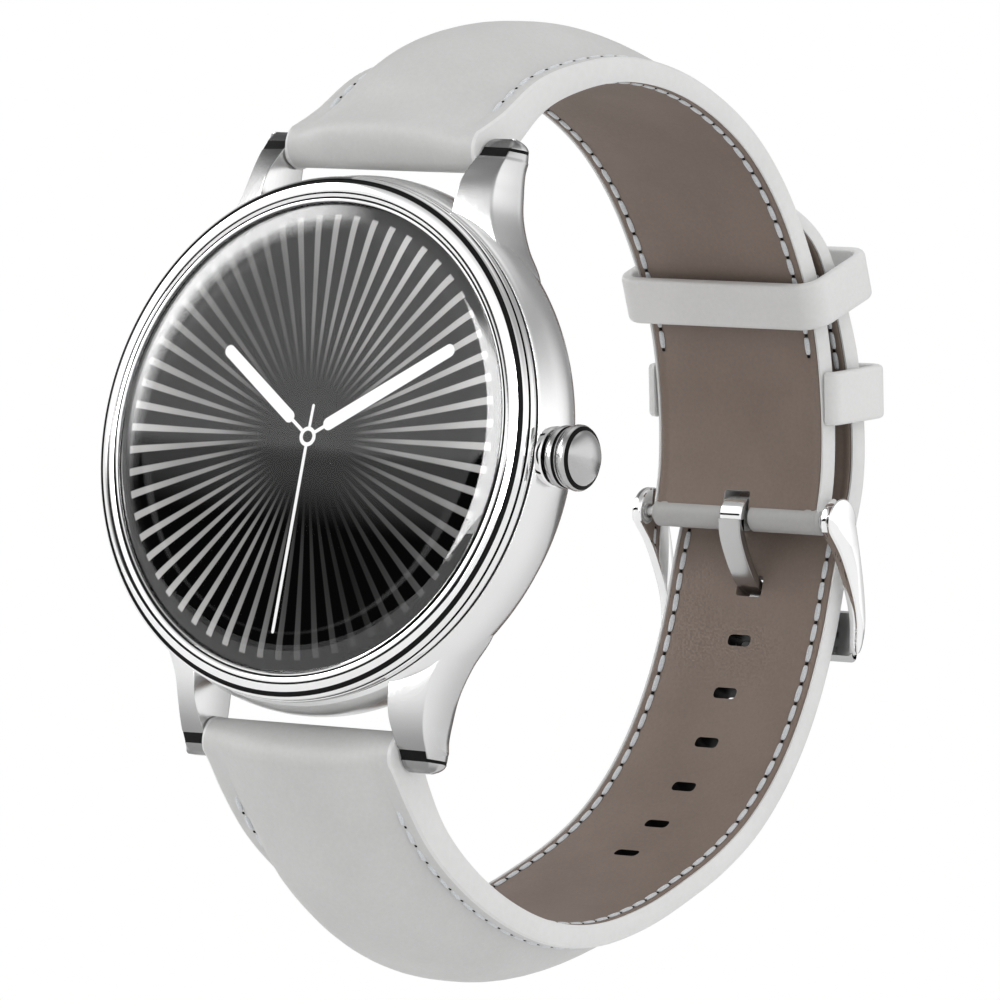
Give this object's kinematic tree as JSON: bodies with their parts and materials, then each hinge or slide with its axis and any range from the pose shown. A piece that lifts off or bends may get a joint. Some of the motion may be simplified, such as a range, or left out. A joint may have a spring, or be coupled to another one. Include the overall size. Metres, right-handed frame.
{
  "type": "smartwatch",
  "caption": "Round polished steel smartwatch with a crown at 3 o'clock and a light grey leather strap buckled into a loop.",
  "frame": {"origin": "middle of the flat sensor window on the case back, where the case rests on the wrist", "axes": "+X to 3 o'clock, the crown side; +Z to 12 o'clock; +Y from the cover glass towards the wrist"},
  "size_m": [0.0488, 0.0722, 0.081],
  "materials": {
    "polished_steel": "mirror polished stainless steel",
    "satin_steel": "satin stainless steel",
    "glass": "polished flat cover glass",
    "display": "lit display, black with grey rays and white hands",
    "leather": "smooth light grey leather with painted edges",
    "lining": "matt brown lining leather",
    "plastic": "moulded, black",
    "board": "circuit board with solder mask",
    "rubber": "moulded seal rubber",
    "gold": "gold plated contact"
  },
  "bodies": {
    "case": {"mid_case": "satin_steel", "bezel_ring": "polished_steel", "cover_glass": "glass", "glass_gasket": "rubber", "display_panel": "display", "display_flex": "board", "inner_frame": "plastic", "battery": "satin_steel", "vibration_motor": "satin_steel", "main_board": "board", "processor_shield": "satin_steel", "sensor_board": "board", "back_gasket": "rubber", "back_cover": "satin_steel", "sensor_window": "glass", "back_screw_1": "satin_steel", "back_screw_2": "satin_steel", "back_screw_3": "satin_steel", "back_screw_4": "satin_steel", "charge_contact_1": "gold", "charge_contact_2": "gold", "crown_tube": "polished_steel", "crown_seal": "rubber", "crown_switch": "plastic", "switch_board": "board"},
    "crown_plunger": {"crown_plunger": "plastic"},
    "crown": {"crown_knob": "polished_steel", "crown_stem": "satin_steel", "crown_clip": "satin_steel"},
    "upper_strap": {"upper_strap_leather": "leather", "upper_strap_lining": "lining", "upper_bar": "satin_steel", "sewn_keeper": "leather", "buckle_bar": "satin_steel"},
    "upper_release": {"upper_release_pin": "satin_steel"},
    "sliding_keeper": {"sliding_keeper": "leather"},
    "buckle_frame": {"buckle_frame": "polished_steel"},
    "buckle_tongue": {"buckle_tongue": "polished_steel"},
    "lower_strap": {"lower_strap_leather": "leather", "lower_strap_lining": "lining", "lower_bar": "satin_steel"},
    "lower_release": {"lower_release_pin": "satin_steel"}
  },
  "joints": [
    {"name": "crown_press", "type": "slide", "parent": "case", "child": "crown_plunger", "axis": [-1, 0, 0], "range_m": [0, 0.00025], "stiffness_N_per_m": 1500},
    {"name": "crown_spin", "type": "hinge", "parent": "crown_plunger", "child": "crown", "pos_m": [0.0235, -0.0066, 0], "axis": [1, 0, 0], "continuous": true},
    {"name": "upper_strap_pivot", "type": "hinge", "parent": "case", "child": "upper_strap", "pos_m": [0, -0.0044, 0.0256], "axis": [1, 0, 0], "range_deg": [-1.5, 1]},
    {"name": "lower_strap_pivot", "type": "hinge", "parent": "case", "child": "lower_strap", "pos_m": [0, -0.0044, -0.0256], "axis": [1, 0, 0], "range_deg": [-0.85, 0.57]},
    {"name": "buckle_frame_pivot", "type": "hinge", "parent": "upper_strap", "child": "buckle_frame", "pos_m": [0, 0.0529, 0.0034], "axis": [1, 0, 0], "range_deg": [-7.1, 10.6]},
    {"name": "buckle_tongue_pivot", "type": "hinge", "parent": "upper_strap", "child": "buckle_tongue", "pos_m": [0, 0.0529, 0.0034], "axis": [1, 0, 0], "range_deg": [-7.1, 10.6]},
    {"name": "sliding_keeper_slide", "type": "slide", "parent": "upper_strap", "child": "sliding_keeper", "axis": [0, -0.515, 0.8572], "range_m": [-0.002, 0.002]},
    {"name": "upper_quick_release", "type": "slide", "parent": "upper_strap", "child": "upper_release", "axis": [-1, 0, 0], "range_m": [0, 0.0013], "stiffness_N_per_m": 200},
    {"name": "lower_quick_release", "type": "slide", "parent": "lower_strap", "child": "lower_release", "axis": [-1, 0, 0], "range_m": [0, 0.0013], "stiffness_N_per_m": 200}
  ],
  "couplings": [
    {"joint": "lower_strap_pivot", "follows": "upper_strap_pivot", "ratio": 0.5517},
    {"joint": "buckle_frame_pivot", "follows": "upper_strap_pivot", "ratio": -7.035},
    {"joint": "buckle_tongue_pivot", "follows": "upper_strap_pivot", "ratio": -7.035}
  ]
}
